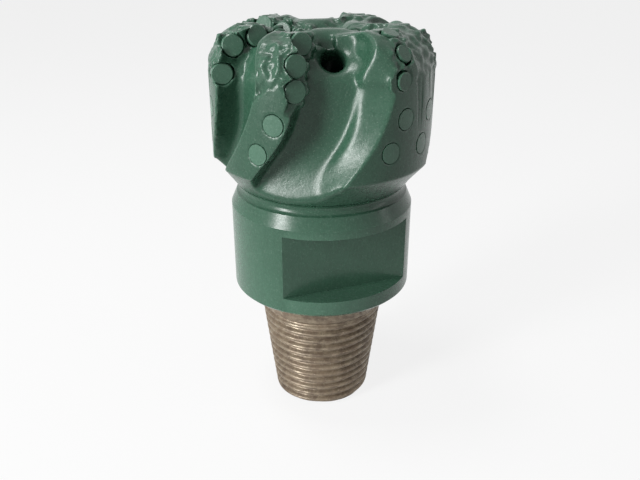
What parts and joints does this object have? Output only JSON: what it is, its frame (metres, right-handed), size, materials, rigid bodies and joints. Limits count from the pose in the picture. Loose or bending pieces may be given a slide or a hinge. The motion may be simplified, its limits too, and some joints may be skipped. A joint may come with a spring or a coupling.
{
  "type": "fixed-cutter drill bit",
  "caption": "Fixed-cutter rotary drill bit with spiral blades, brazed cylindrical cutters, jet ports, breaker flats and a tapered threaded pin.",
  "frame": {"origin": "on the axis at the end face of the threaded pin, where the water bore opens", "axes": "+Z along the bit's axis from the pin to the cutting head, -Y towards the front, where one nozzle port shows between two blades"},
  "size_m": [0.1215, 0.119, 0.2259],
  "materials": {
    "crown_enamel": "satin-gloss green enamel over rough braze and milled faces",
    "collar_enamel": "satin-gloss green enamel on turned steel",
    "shank_steel": "green enamel on the collar; greasy, rust-brown thread on the pin",
    "cutter_enamel": "satin-gloss green enamel",
    "insert_enamel": "satin-gloss green enamel"
  },
  "bodies": {
    "root": {"crown": "crown_enamel", "cutter_a1": "cutter_enamel", "cutter_a2": "cutter_enamel", "cutter_a3": "cutter_enamel", "cutter_a4": "cutter_enamel", "cutter_b1": "cutter_enamel", "cutter_b2": "cutter_enamel", "cutter_b3": "cutter_enamel", "cutter_b4": "cutter_enamel", "cutter_c1": "cutter_enamel", "cutter_c2": "cutter_enamel", "cutter_c3": "cutter_enamel", "cutter_c4": "cutter_enamel", "cutter_c5": "cutter_enamel", "cutter_d1": "cutter_enamel", "cutter_d2": "cutter_enamel", "cutter_d3": "cutter_enamel", "cutter_d4": "cutter_enamel", "cutter_e1": "cutter_enamel", "cutter_e2": "cutter_enamel", "cutter_e3": "cutter_enamel", "cutter_e4": "cutter_enamel", "cutter_e5": "cutter_enamel", "insert_a1": "insert_enamel", "insert_a2": "insert_enamel", "insert_b1": "insert_enamel", "insert_b2": "insert_enamel", "insert_c1": "insert_enamel", "insert_c2": "insert_enamel", "insert_c3": "insert_enamel", "insert_c4": "insert_enamel", "insert_d1": "insert_enamel", "insert_d2": "insert_enamel", "insert_e1": "insert_enamel", "insert_e2": "insert_enamel", "shank": "shank_steel", "stud_c1": "cutter_enamel", "stud_c2": "cutter_enamel", "stud_c3": "cutter_enamel", "stud_d1": "cutter_enamel", "stud_d2": "cutter_enamel", "stud_e1": "cutter_enamel", "stud_e2": "cutter_enamel", "weld_ring": "collar_enamel"}
  },
  "joints": []
}
